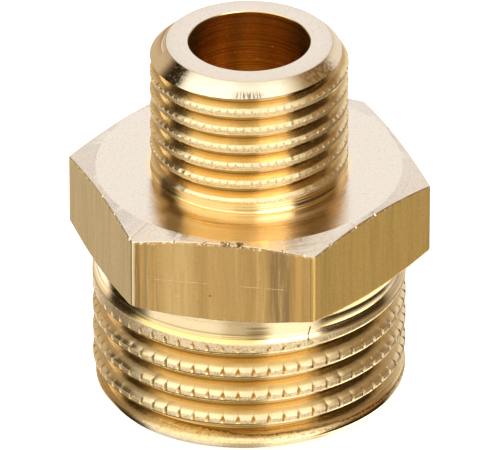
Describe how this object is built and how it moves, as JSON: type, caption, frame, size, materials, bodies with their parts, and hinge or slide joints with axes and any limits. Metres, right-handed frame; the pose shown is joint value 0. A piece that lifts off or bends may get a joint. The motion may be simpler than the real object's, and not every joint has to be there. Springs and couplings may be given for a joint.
{
  "type": "reducing nipple",
  "caption": "Brass pipe nipple with a hexagon between two outside pipe threads of different size and a stepped bore right through.",
  "frame": {"origin": "middle of the large end's rim, on the common axis of both threads and bores", "axes": "+Z along the common axis from the large end to the small end; the hexagon is turned 9.4 degrees clockwise about it, as the picture shows it"},
  "size_m": [0.024, 0.0226, 0.0255],
  "materials": {
    "brass": "bare machined brass: satin turned faces, polished grooves and bevels, drawn flats"
  },
  "bodies": {
    "root": {"nipple_body": "brass"}
  },
  "joints": []
}
